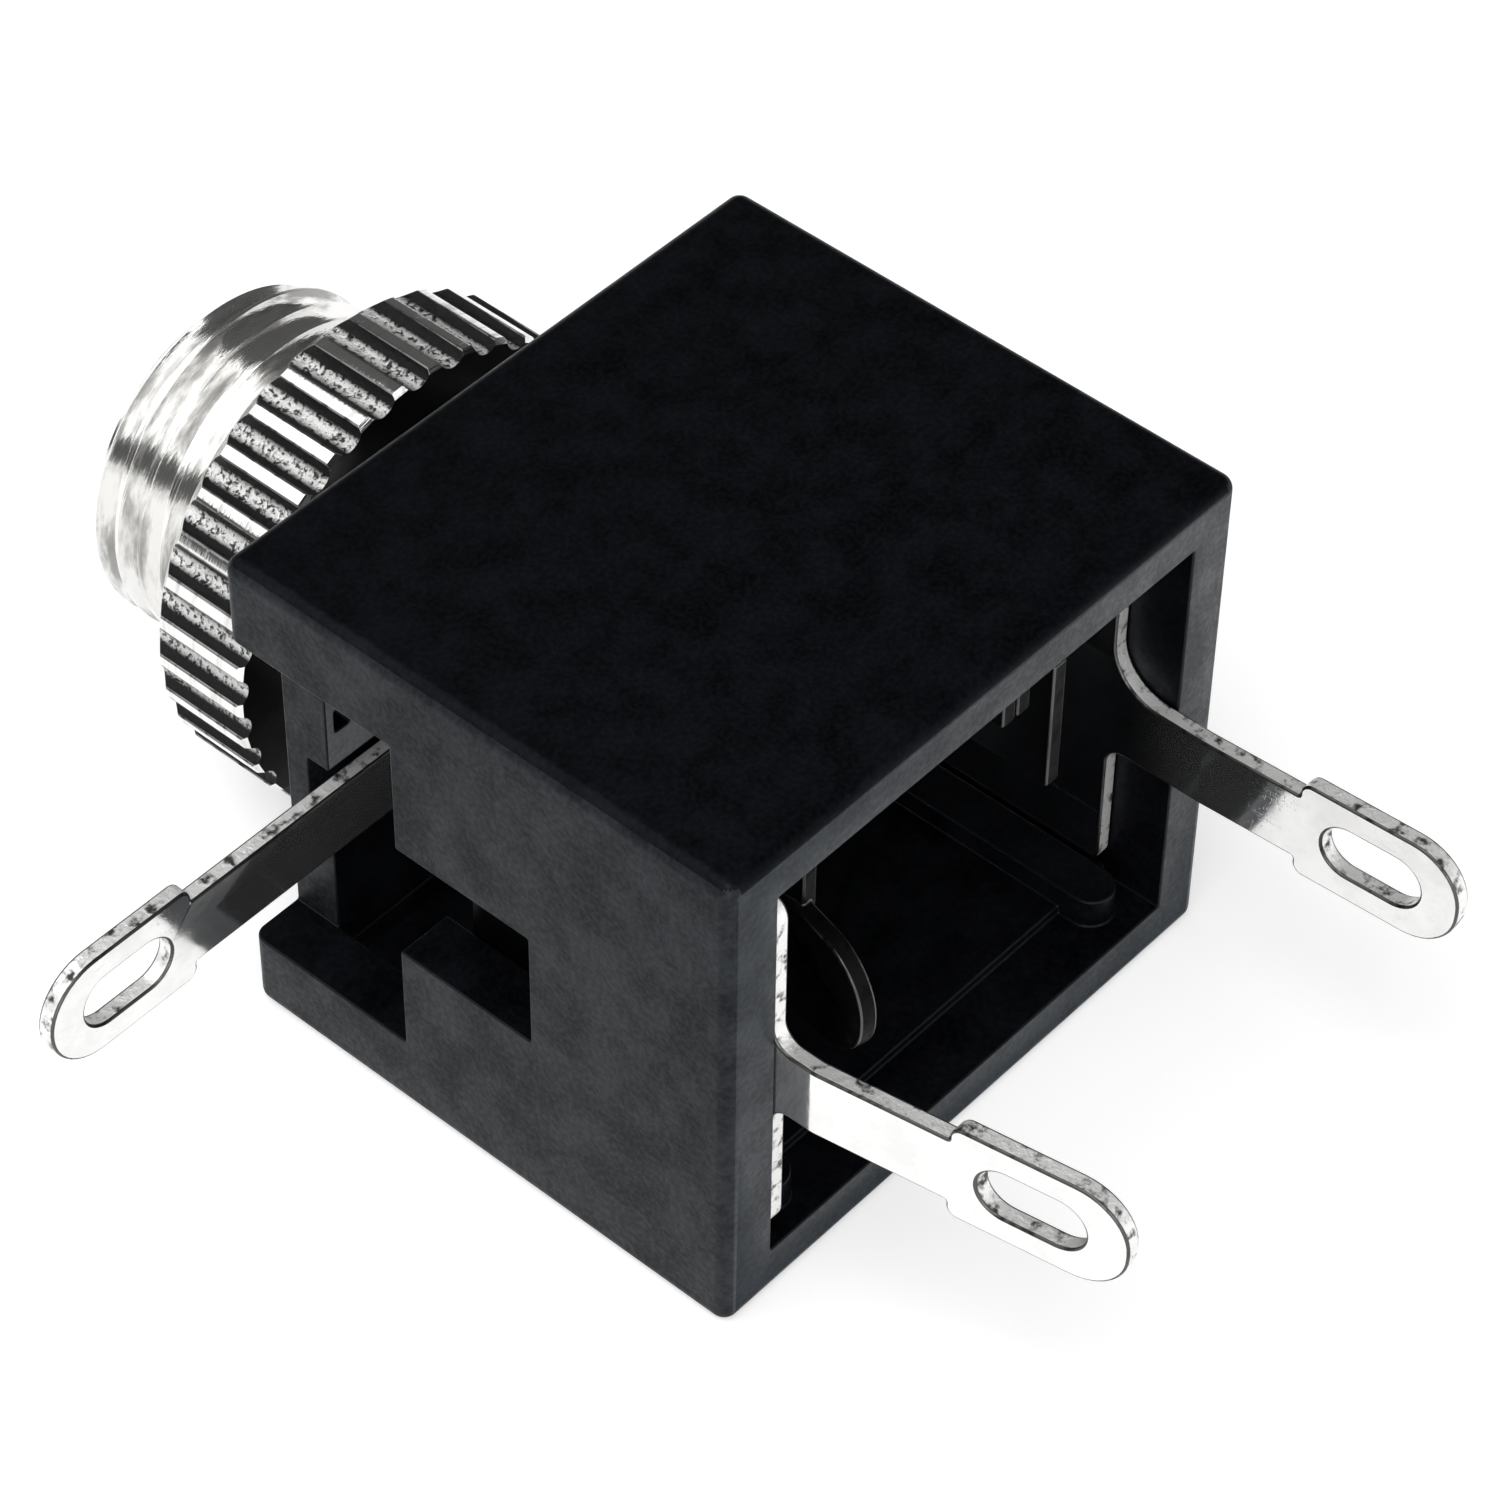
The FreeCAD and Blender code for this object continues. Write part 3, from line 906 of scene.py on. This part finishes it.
def piece_from(bm: BMesh, name: str) -> Object:
    """Make an object at the origin from a mesh and put it in the scene.

    Args:
        bm: the mesh, which is freed.
        name: the piece's name.

    Returns:
        The new object.
    """
    mesh = bpy.data.meshes.new(name)
    bm.to_mesh(mesh)
    bm.free()
    piece = bpy.data.objects.new(name, mesh)
    bpy.context.scene.collection.objects.link(piece)
    return piece


def merged_copy(node: Object) -> BMesh:
    """Copy a solid's mesh, with its loose triangles joined into whole flat faces.

    Args:
        node: the solid, which is left alone.

    Returns:
        The copy.
    """
    bm = bmesh.new()
    bm.from_mesh(node.data)
    bmesh.ops.remove_doubles(bm, verts=bm.verts[:], dist=WELD)
    bmesh.ops.dissolve_limit(bm, angle_limit=SAME_FLAT, use_dissolve_boundaries=False,
                             verts=bm.verts[:], edges=bm.edges[:])
    smooth_with_sharp_edges(bm)
    return bm


@dataclass
class Piece:
    """A dressed piece: which solid it stands for and which body it rides on."""

    node: str
    name: str
    body: Body
    slot: Slot

    def dress(self, piece: Object, materials: list[Material]) -> None:
        """Give a piece its materials and tie it to the frame.

        Args:
            piece: the finished mesh object.
            materials: its materials, in the order of its kinds of face.
        """
        for material in materials:
            piece.data.materials.append(material)
        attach(piece, self.body.value)
        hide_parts(self.node)
        LOG.info("%s: %d faces, rides on %s", piece.name, len(piece.data.polygons),
                 self.body.value)


@dataclass
class Housing(Piece):
    """The open-backed moulding, its edges broken as a mould leaves them."""

    edge: float = 0.035 * MM
    side_wall: float = 1.0 * MM
    front_wall: float = 0.9 * MM
    # Height that parts the painted light above the side lug from the lug's painted shadow below.
    lug_top: float = 0.0
    slack: float = 0.02 * MM
    upward: float = 0.7

    def kind_of(self, face: BMFace, low: Vector, high: Vector) -> HousingFace:
        """Say which kind a face is.

        Args:
            face: the face.
            low: lowest corner of the solid's box.
            high: highest corner of the solid's box.

        Returns:
            The kind.
        """
        centre = face.calc_center_median()
        at_rear = min(vert.co.y for vert in face.verts) > high.y - self.slack
        reach = self.side_wall - self.slack
        inside = (low.x + reach < centre.x < high.x - reach
                  and low.z + self.slack < centre.z < high.z - self.slack
                  and centre.y > self.front_wall + self.slack and not at_rear)
        rearward = face.normal.y > ALONG_AXIS
        if rearward and abs(centre.y - self.front_wall) < self.slack:
            # Painted light above the side lug, painted shadow of the lug below it.
            return HousingFace.PAINTED_LIGHT if centre.z > self.lug_top else HousingFace.PAINTED_SHADE
        if rearward and at_rear:
            return HousingFace.RIM
        # Faces inside the cavity and faces looking up get painted shade.
        gets_painted_shade = inside or face.normal.z > self.upward
        return HousingFace.PAINTED_SHADE if gets_painted_shade else HousingFace.WALL

    def build(self, nodes: dict[str, Object], effects: EffectBook) -> None:
        """Copy the solid, mark its faces' finishes and break its edges.

        Args:
            nodes: the frame's solids by name.
            effects: the shared effects.
        """
        bm = merged_copy(nodes[self.node])
        cut_across(bm, point=(0.0, 0.0, self.lug_top), way=(0.0, 0.0, 1.0))
        low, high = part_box(self.node)
        for face in bm.faces:
            face.material_index = self.kind_of(face, low, high)
        piece = piece_from(bm, self.name)
        finishes = (MouldedBlack(), MouldedPaintedShade(), MouldedPaintedLight(), MouldedRim(), MouldedEdge())
        self.dress(piece, [finish.make(effects) for finish in finishes])
        EdgeBreak(self.edge, material=HousingFace.EDGE).apply_to(piece)


@dataclass
class ThreadedBush(Piece):
    """The turned bush, with its M6 thread cut as a real helix.

    The flats of crest and root are shares of the pitch, and so is the thread's depth.
    """

    pitch: float = 0.5 * MM
    steps: int = 120
    run_in_turns: float = 1.5
    spare_turns: int = 3
    flat_of_crest: float = 0.125
    flat_of_root: float = 0.25
    depth_of_pitch: float = 0.61
    nose_chamfer: float = 0.3 * MM
    relief: float = 0.35 * MM
    mouth_chamfer: float = 0.35 * MM
    shank_radius: float = 2.5 * MM
    lip_radius: float = 2.85 * MM
    lip_chamfer: float = 0.175 * MM
    ring_back: float = 1.2 * MM
    edge: float = 0.012 * MM
    edge_from: float = math.radians(50.0)
    skin: float = 0.002 * MM
    off_step: float = 0.01
    front: float = field(init=False)
    rear: float = field(init=False)
    crest: float = field(init=False)
    root: float = field(init=False)
    bore: float = field(init=False)

    def measure(self, record: dict) -> None:
        """Read the bush's ends, radius and bore from the frame.

        Args:
            record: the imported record.
        """
        low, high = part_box(self.node)
        self.front = low.y + self.skin
        self.rear = high.y - self.skin
        self.crest = high.x - self.skin
        self.root = self.crest - self.depth_of_pitch * self.pitch
        bores = [mount for mount in record["mounts"] if mount["kind"] == "bore"]
        self.bore = bores[0]["dims"]["r_mm"] * MM

    def thread(self) -> BMesh:
        """Sweep one ridge profile round with the lead, from the nose to the housing.

        Returns:
            The thread, open at both ends.
        """
        bm = bmesh.new()
        flank = (1.0 - self.flat_of_crest - self.flat_of_root) / 2
        marks = ((0.0, self.crest), (self.flat_of_crest, self.crest),
                 (self.flat_of_crest + flank, self.root), (1.0 - flank, self.root))
        turns = math.ceil(-self.front / self.pitch) + self.spare_turns
        start = self.front - self.run_in_turns * self.pitch
        verts = [bm.verts.new((radius, start + (turn + share) * self.pitch, 0.0))
                 for turn in range(turns) for share, radius in marks]
        edges = [bm.edges.new(pair) for pair in zip(verts, verts[1:])]
        bmesh.ops.spin(bm, geom=verts + edges, cent=(0, 0, 0), axis=(0, 1, 0),
                       dvec=(0, self.pitch / self.steps, 0), angle=math.tau,
                       steps=self.steps, use_merge=False, use_duplicate=False)
        bmesh.ops.remove_doubles(bm, verts=bm.verts[:], dist=WELD)
        for y, way in ((self.front, -1.0), (0.0, 1.0)):
            cut_across(bm, point=(0, y, 0), way=(0, way, 0), trim=True)
        for vert in bm.verts:
            self.turn_down(vert)
        return bm

    def turn_down(self, vert: BMVert) -> None:
        """Bring a point of the thread in to the nose chamfer or the relief at the shoulder.

        Args:
            vert: the point.
        """
        radius = math.hypot(vert.co.x, vert.co.z)
        nose = self.crest - self.nose_chamfer + (vert.co.y - self.front)
        relief = self.root + max(0.0, -self.relief - vert.co.y)
        limit = max(min(nose, relief), self.root)
        if self.on_rim(vert):
            limit = self.root
        if radius > limit:
            vert.co.x *= limit / radius
            vert.co.z *= limit / radius

    def is_at(self, vert: BMVert, y: float) -> bool:
        """Whether a point lies on the plane at y."""
        return abs(vert.co.y - y) < self.skin / 2

    def on_rim(self, vert: BMVert) -> bool:
        """Whether a point lies on one of the thread's two end planes."""
        return self.is_at(vert, self.front) or self.is_at(vert, 0.0)

    def even_rims(self, bm: BMesh) -> None:
        """Leave one point per step on both rims of the thread, so that they meet the core.

        Args:
            bm: the thread.
        """
        step = math.tau / self.steps
        odd = []
        for vert in filter(self.on_rim, bm.verts):
            turn = math.atan2(vert.co.z, vert.co.x) / step
            if abs(turn - round(turn)) > self.off_step:
                odd.append(vert)
        bmesh.ops.dissolve_verts(bm, verts=odd)

    def add_core(self, bm: BMesh) -> None:
        """Draw the nose's rim on through mouth, bore, lip and shank to the thread's rear rim.

        Args:
            bm: the thread, with even rims.
        """
        profile = ((self.bore + self.mouth_chamfer, self.front),
                   (self.bore, self.front + self.mouth_chamfer),
                   (self.bore, self.rear),
                   (self.lip_radius - self.lip_chamfer, self.rear),
                   (self.lip_radius, self.rear - self.lip_chamfer),
                   (self.lip_radius, self.ring_back),
                   (self.shank_radius, self.ring_back),
                   (self.shank_radius, 0.0),
                   (self.root, 0.0))
        rim = [edge for edge in bm.edges
               if edge.is_boundary and all(self.is_at(vert, self.front) for vert in edge.verts)]
        for radius, y in profile:
            made = bmesh.ops.extrude_edge_only(bm, edges=rim)["geom"]
            for vert in made:
                if isinstance(vert, BMVert):
                    scale = radius / math.hypot(vert.co.x, vert.co.z)
                    vert.co = (vert.co.x * scale, y, vert.co.z * scale)
            rim = [item for item in made
                   if isinstance(item, BMEdge) and item.is_boundary]
        bmesh.ops.remove_doubles(bm, verts=bm.verts[:], dist=self.skin / 2)

    def build(self, record: dict, effects: EffectBook) -> None:
        """Make the thread, draw the rest of the bush on from it and dress it.

        Args:
            record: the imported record.
            effects: the shared effects.
        """
        self.measure(record)
        bm = self.thread()
        self.even_rims(bm)
        self.add_core(bm)
        bmesh.ops.recalc_face_normals(bm, faces=bm.faces[:])
        smooth_with_sharp_edges(bm)
        LOG.info("%s: %d open edges", self.name, sum(edge.is_boundary for edge in bm.edges))
        piece = piece_from(bm, self.name)
        self.dress(piece, [TurnedNickel().make(effects)])
        EdgeBreak(self.edge, self.edge_from).apply_to(piece)


@dataclass
class RingNut(Piece):
    """The fluted ring nut, with the long edges of its lands rounded and its ends broken."""

    edge: float = 0.025 * MM
    edge_from: float = math.radians(42.0)
    land_round: float = 0.085 * MM
    land_segments: int = 3
    land_edge_from: float = math.radians(45.0)
    shade_from: float = math.radians(40.0)
    flute_depth: float = 0.2 * MM
    slack: float = 0.02 * MM
    end_tilt: float = 0.3

    def mark_faces(self, bm: BMesh, crest: float) -> None:
        """Mark the flutes, and the face by the housing for painted shade.

        Args:
            bm: the nut's mesh.
            crest: radius of the lands between the flutes.
        """
        for face in bm.faces:
            lowest = min(math.hypot(vert.co.x, vert.co.z) for vert in face.verts)
            across = abs(face.normal.y) < self.end_tilt
            if across and self.flute_depth + self.slack > crest - lowest > self.slack:
                face.material_index = NutFace.FLUTE
            # The face by the housing gets painted shade.
            elif face.normal.y > ALONG_AXIS:
                face.material_index = NutFace.SHADED

    def round_lands(self, bm: BMesh) -> None:
        """Round both long edges of every land.

        Args:
            bm: the nut's mesh.
        """
        long_edges = [edge for edge in bm.edges
                      if abs((edge.verts[1].co - edge.verts[0].co).normalized().y) > ALONG_AXIS
                      and edge.calc_face_angle(0.0) > self.land_edge_from]
        bmesh.ops.bevel(bm, geom=long_edges, offset=self.land_round, profile=0.5,
                        segments=self.land_segments, affect="EDGES", material=NutFace.ROUND,
                        clamp_overlap=True)

    def build(self, nodes: dict[str, Object], effects: EffectBook) -> None:
        """Copy the solid, mark its faces, round its lands and break its edges.

        Args:
            nodes: the frame's solids by name.
            effects: the shared effects.
        """
        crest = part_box(self.node)[1].z
        bm = merged_copy(nodes[self.node])
        self.mark_faces(bm, crest)
        self.round_lands(bm)
        smooth_with_sharp_edges(bm, self.shade_from)
        piece = piece_from(bm, self.name)
        finishes = (TurnedNickel(dull=(0.72, 0.71, 0.7, 1.0), name="nut_nickel"),
                    FluteNickel(crest=crest, foot=crest - self.flute_depth),
                    ShadedNickel(),
                    # The land rounds get painted shade.
                    PaintedShadeRound(colour=(0.24, 0.235, 0.23, 1.0), name="land_round"))
        self.dress(piece, [finish.make(effects) for finish in finishes])
        EdgeBreak(self.edge, self.edge_from).apply_to(piece)


@dataclass
class SheetContact(Piece):
    """A stamped and folded sheet part: bright flats and torn cut edges."""

    sheet: float = 0.3 * MM
    edge: float = 0.04 * MM
    leaf_side: float = 3.3 * MM
    housing_rear: float = 9.8 * MM
    bright_from: float = 6.5 * MM
    thicker_than_sheet: float = 1.2
    nudge: float = 0.002 * MM

    def kind_of(self, face: BMFace, point: Vector, tree: BVHTree) -> SheetFace:
        """Say which kind a face is. A cut edge has more metal behind it than the sheet's own.

        Args:
            face: the face.
            point: a point on its metal.
            tree: the contact's faces, for rays.

        Returns:
            The kind.
        """
        inward = -face.normal
        distance = tree.ray_cast(point + inward * self.nudge, inward)[3]
        behind = math.inf if distance is None else distance + self.nudge
        beside_wall = abs(point.x) > self.leaf_side
        if behind > self.thicker_than_sheet * self.sheet:
            # Cut edges of the leaves inside the housing get painted shade.
            on_leaf = abs(point.x) < self.leaf_side and point.y < self.housing_rear
            return SheetFace.LEAF_CUT if on_leaf else SheetFace.CUT
        outward = face.normal.x * math.copysign(1.0, point.x)
        # Faces looking out beside the side walls, short of the rear, get the painted dark
        # reflection.
        if outward > ALONG_AXIS and beside_wall and point.y < self.bright_from:
            return SheetFace.WALL_SIDE
        return SheetFace.FLAT

    def build(self, nodes: dict[str, Object], materials: list[Material]) -> None:
        """Copy the solid, mark its faces and soften every corner.

        Args:
            nodes: the frame's solids by name.
            materials: the sheet's finishes, in the order of its kinds of face.
        """
        bm = merged_copy(nodes[self.node])
        cut_across(bm, point=(0.0, self.bright_from, 0.0), way=(0.0, 1.0, 0.0))
        tree = BVHTree.FromBMesh(bm)
        for face, point in points_on_faces(bm).items():
            face.material_index = self.kind_of(face, point, tree)
        piece = piece_from(bm, self.name)
        self.dress(piece, materials)
        EdgeBreak(self.edge, material=SheetFace.ROUND).apply_to(piece)


# Studio


@dataclass(frozen=True)
class Lamp:
    """A square soft lamp aimed at the socket."""

    name: str
    towards: tuple
    size: float
    strength: float
    distance: float = 0.4

    def hang(self, target: Vector) -> None:
        """Put the lamp up.

        Args:
            target: the point that the lamp faces.
        """
        data = bpy.data.lights.new(self.name, "AREA")
        data.shape = "SQUARE"
        data.size = self.size
        data.energy = self.strength * math.pi ** 2 * self.distance ** 2
        lamp = bpy.data.objects.new(self.name, data)
        way = Vector(self.towards).normalized()
        lamp.location = target + way * self.distance
        lamp.rotation_mode = "QUATERNION"
        lamp.rotation_quaternion = way.to_track_quat("Z", "Y")
        bpy.context.scene.collection.objects.link(lamp)


@dataclass
class Studio:
    """Pale floor, white backdrop under a dark ceiling, and soft lamps."""

    floor_size: float = 1.6
    floor_colour: Colour = (0.62, 0.62, 0.62, 1.0)
    floor_roughness: float = 0.9
    floor_glow: float = 0.5
    world_grey: float = 0.09
    backdrop_top: Span = (0.04, 0.12)
    white: Colour = (1.0, 1.0, 1.0, 1.0)
    lamps: tuple = (
        Lamp("key_lamp", (0.361, -0.454, 0.815), size=0.5, strength=0.72),
        Lamp("overhead_lamp", (0.4, 0.25, 1.0), size=0.2, strength=0.4),
        Lamp("fill_lamp", (0.75, 0.55, 0.22), size=0.2, strength=0.4),
        Lamp("rear_lamp", (0.0, 0.88, 0.42), size=0.4, strength=0.45),
    )

    def seen_rays(self, wiring: Wiring) -> NodeSocket:
        """Tell rays that see the studio from rays that light by it.

        Args:
            wiring: a material's or the world's wiring.

        Returns:
            1 for rays from the camera and through gloss or glass, 0 for the light's own.
        """
        path = wiring.add("ShaderNodeLightPath").outputs
        seen = wiring.maths("MAXIMUM", path["Is Camera Ray"], path["Is Glossy Ray"])
        return wiring.maths("MAXIMUM", seen, path["Is Transmission Ray"])

    def lay_floor(self, level: float) -> None:
        """Lay a floor under the socket that shows white and keeps its shadow.

        Args:
            level: the floor's height.
        """
        bm = bmesh.new()
        bmesh.ops.create_grid(bm, x_segments=1, y_segments=1, size=self.floor_size / 2)
        bmesh.ops.translate(bm, verts=bm.verts[:], vec=(0, 0, level))
        floor = piece_from(bm, "studio_floor")
        surface = Surface("studio_floor")
        glow = surface.wiring.maths("MULTIPLY", self.seen_rays(surface.wiring), self.floor_glow)
        surface.set(Base_Color=self.floor_colour, Roughness=self.floor_roughness,
                    Emission_Color=self.white, Emission_Strength=glow)
        floor.data.materials.append(surface.material)
        floor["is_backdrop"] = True

    def surround(self) -> None:
        """Make a world with a white backdrop under a dark ceiling, which lights as a grey."""
        world = bpy.data.worlds.new("studio")
        bpy.context.scene.world = world
        world.use_nodes = True
        wiring = Wiring(world.node_tree)
        background = world.node_tree.nodes["Background"]
        way = wiring.split(wiring.add("ShaderNodeTexCoord").outputs["Generated"])
        backdrop = wiring.spread(way["Z"], self.backdrop_top, to=(1.0 - self.world_grey, 0.0))
        shade = wiring.maths("MULTIPLY", self.seen_rays(wiring), backdrop)
        wiring.feed(background.inputs["Strength"], wiring.maths("ADD", shade, self.world_grey))
        wiring.feed(background.inputs["Color"], self.white)

    def build(self, low: Vector, high: Vector) -> None:
        """Set the whole studio round an object's box.

        Args:
            low: lowest corner of the box.
            high: highest corner of the box.
        """
        self.lay_floor(low.z)
        self.surround()
        for lamp in self.lamps:
            lamp.hang((low + high) / 2)
        bpy.context.scene.view_settings.view_transform = "Standard"


@dataclass
class PhotoCamera:
    """Camera at the photograph's place, aim and angle of view."""

    place: tuple = (40.967 * MM, 40.704 * MM, 56.921 * MM)
    right: tuple = (-0.66266, 0.74885, 0.01078)
    down: tuple = (0.53425, 0.48274, -0.69393)
    ahead: tuple = (-0.52485, -0.45408, -0.71997)
    focal_pixels: float = 5183.4
    image_pixels: float = 1500.0
    sensor: float = 36.0
    near: float = 1.0 * MM
    far: float = 10.0

    def build(self) -> None:
        """Set the camera up and make it the scene's own."""
        data = bpy.data.cameras.new("photo_camera")
        data.sensor_width = self.sensor
        data.lens = self.sensor * self.focal_pixels / self.image_pixels
        data.clip_start = self.near
        data.clip_end = self.far
        camera = bpy.data.objects.new("photo_camera", data)
        axes = Matrix((Vector(self.right), -Vector(self.down), -Vector(self.ahead)))
        camera.matrix_world = Matrix.Translation(self.place) @ axes.transposed().to_4x4()
        bpy.context.scene.collection.objects.link(camera)
        bpy.context.scene.camera = camera


@dataclass
class JackSocket:
    """The whole socket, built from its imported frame."""

    housing: Housing = field(default_factory=lambda: Housing(
        "housing", "housing_moulding", Body.JACK, Slot.MOULDING))
    bush: ThreadedBush = field(default_factory=lambda: ThreadedBush(
        "threaded_bush", "bush_turned", Body.JACK, Slot.NICKEL))
    nut: RingNut = field(default_factory=lambda: RingNut(
        "fluted_nut", "ring_nut_fluted", Body.NUT, Slot.NICKEL))
    contacts: tuple = tuple(
        SheetContact(node, f"{node}_sheet", Body.JACK, Slot.SHEET)
        for node in ("sleeve_terminal", "tip_contact", "break_contact"))

    def build(self, frame: dict) -> None:
        """Build every piece in its place.
        """
        effects = EffectBook()
        nodes = frame["nodes"]
        self.housing.build(nodes, effects)
        self.bush.build(frame["record"], effects)
        self.nut.build(nodes, effects)
        finishes = (SilveredSheet(), ShearedEdge(), LeafEdgePaintedShade(), PaintedDarkReflectionSheet(),
                    # The sheet rounds get painted shade.
                    PaintedShadeRound(name="sheet_round_painted_shade"))
        sheet = [finish.make(effects) for finish in finishes]
        for contact in self.contacts:
            contact.build(nodes, sheet)


def main() -> None:
    """Build the socket, the studio and the camera."""
    logging.basicConfig(level=logging.INFO, format="%(name)s: %(message)s")
    for item in list(bpy.data.objects):
        bpy.data.objects.remove(item)
    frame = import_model()
    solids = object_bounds()
    JackSocket().build(frame)
    Studio().build(*solids)
    PhotoCamera().build()


if __name__ == "__main__":
    main()
